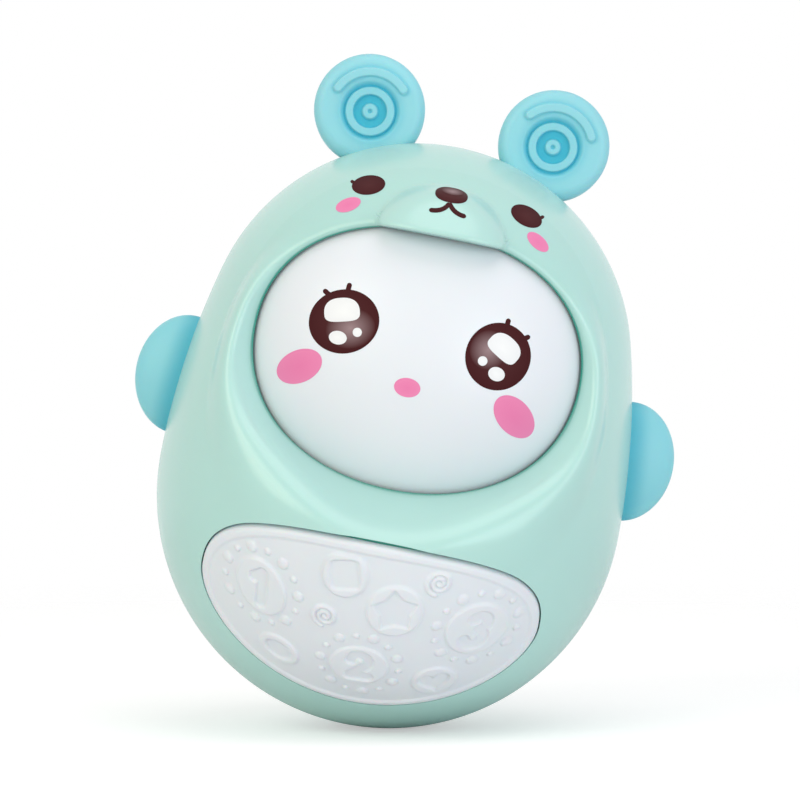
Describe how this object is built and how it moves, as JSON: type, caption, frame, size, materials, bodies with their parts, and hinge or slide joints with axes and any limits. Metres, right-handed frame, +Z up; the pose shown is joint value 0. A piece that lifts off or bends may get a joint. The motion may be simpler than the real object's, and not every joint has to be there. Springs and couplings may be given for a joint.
{
  "type": "roly poly toy",
  "caption": "Bear-shaped self-righting tumbler on a round weighted base, with a doll face that nods and sways in a window, soft ears and arms, a soft belly panel and a chime inside",
  "frame": {"origin": "middle of the flat under the round base, on the floor", "axes": "+Z up, the face looks along -Y, +X is the viewer's right"},
  "size_m": [0.1742, 0.1473, 0.2106],
  "materials": {
    "shell_mint": "satin moulded ABS",
    "soft_turquoise": "soft matt TPE",
    "soft_white": "soft milky TPE",
    "face_white": "satin moulded ABS with printed features",
    "inner_plastic": "plain moulded",
    "iron": "rough cast",
    "steel": "zinc plated"
  },
  "bodies": {
    "shell": {"front_shell": "shell_mint", "rear_shell": "shell_mint", "shell_screws": "steel", "ear_left": "soft_turquoise", "ear_right": "soft_turquoise", "arm_left": "soft_turquoise", "arm_right": "soft_turquoise", "belly_panel": "soft_white", "base_weight": "iron", "weight_clamp": "inner_plastic", "weight_screws": "steel", "pivot_bracket_left": "inner_plastic", "pivot_bracket_right": "inner_plastic", "bracket_screws": "steel", "chime_bracket": "inner_plastic", "chime_bracket_screws": "steel", "chime_bars": "steel", "chime_nuts": "steel", "hammer_pin": "steel"},
    "cradle": {"nod_cradle": "inner_plastic", "nod_axle": "steel", "nod_weight": "steel", "nod_weight_screws": "steel", "sway_pin": "steel", "pin_clip": "steel"},
    "face": {"face_dome": "face_white", "face_frame": "inner_plastic", "chin_weight": "steel", "face_screws": "steel"},
    "hammer": {"chime_hammer": "steel"}
  },
  "joints": [
    {"name": "face_nod", "type": "hinge", "parent": "shell", "child": "cradle", "pos_m": [0, 0, 0.1182], "axis": [1, 0, 0], "range_deg": [-12, 12]},
    {"name": "face_sway", "type": "hinge", "parent": "cradle", "child": "face", "pos_m": [0, 0, 0.1182], "axis": [0, 1, 0], "range_deg": [-5, 5]},
    {"name": "chime_swing", "type": "hinge", "parent": "shell", "child": "hammer", "pos_m": [0, 0.004, 0.06763], "axis": [0, 1, 0], "range_deg": [-20, 20]}
  ]
}
